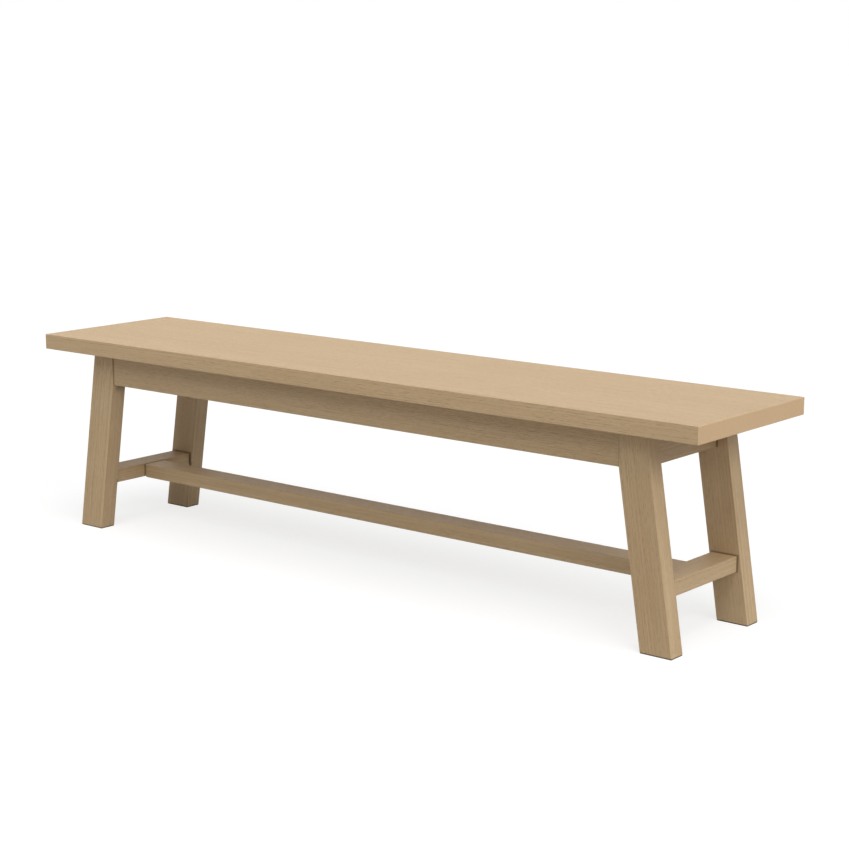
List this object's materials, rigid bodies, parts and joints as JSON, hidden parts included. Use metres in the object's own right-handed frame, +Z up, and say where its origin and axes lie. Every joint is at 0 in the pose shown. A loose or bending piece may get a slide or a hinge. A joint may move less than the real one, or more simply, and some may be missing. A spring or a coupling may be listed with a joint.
{
  "type": "wooden bench",
  "caption": "Long backless bench in pale oak: thick plain slab seat on flat legs leaning outwards, with a low apron, cross rails near the floor and a long centre stretcher.",
  "frame": {"origin": "on the floor, under the middle of the seat", "axes": "+X along the bench to its right-hand end seen from the front, +Y from front to back, +Z up"},
  "size_m": [1.8, 0.39, 0.46],
  "materials": {
    "oak": "matt clear lacquer, fine straight grain",
    "beech": "bare",
    "zinc_steel": "zinc plated",
    "bracket_steel": "satin black",
    "felt": "dense felt"
  },
  "bodies": {
    "root": {"apron_back": "oak", "apron_dowels": "beech", "apron_front": "oak", "apron_left": "oak", "apron_right": "oak", "block_screws": "zinc_steel", "bolt_nuts": "zinc_steel", "bolt_washers": "zinc_steel", "brace_dowels": "beech", "brace_screws": "zinc_steel", "bracket_apron_screws": "zinc_steel", "bracket_seat_screws": "zinc_steel", "corner_block_back_left": "oak", "corner_block_back_right": "oak", "corner_block_front_left": "oak", "corner_block_front_right": "oak", "cross_brace_left": "oak", "cross_brace_right": "oak", "cross_rail_left": "oak", "cross_rail_right": "oak", "foot_pad_back_left": "felt", "foot_pad_back_right": "felt", "foot_pad_front_left": "felt", "foot_pad_front_right": "felt", "hanger_bolts": "zinc_steel", "leg_back_left": "oak", "leg_back_right": "oak", "leg_front_left": "oak", "leg_front_right": "oak", "seat_brackets": "bracket_steel", "seat_top": "oak", "stretcher": "oak", "stretcher_dowels": "beech"}
  },
  "joints": []
}
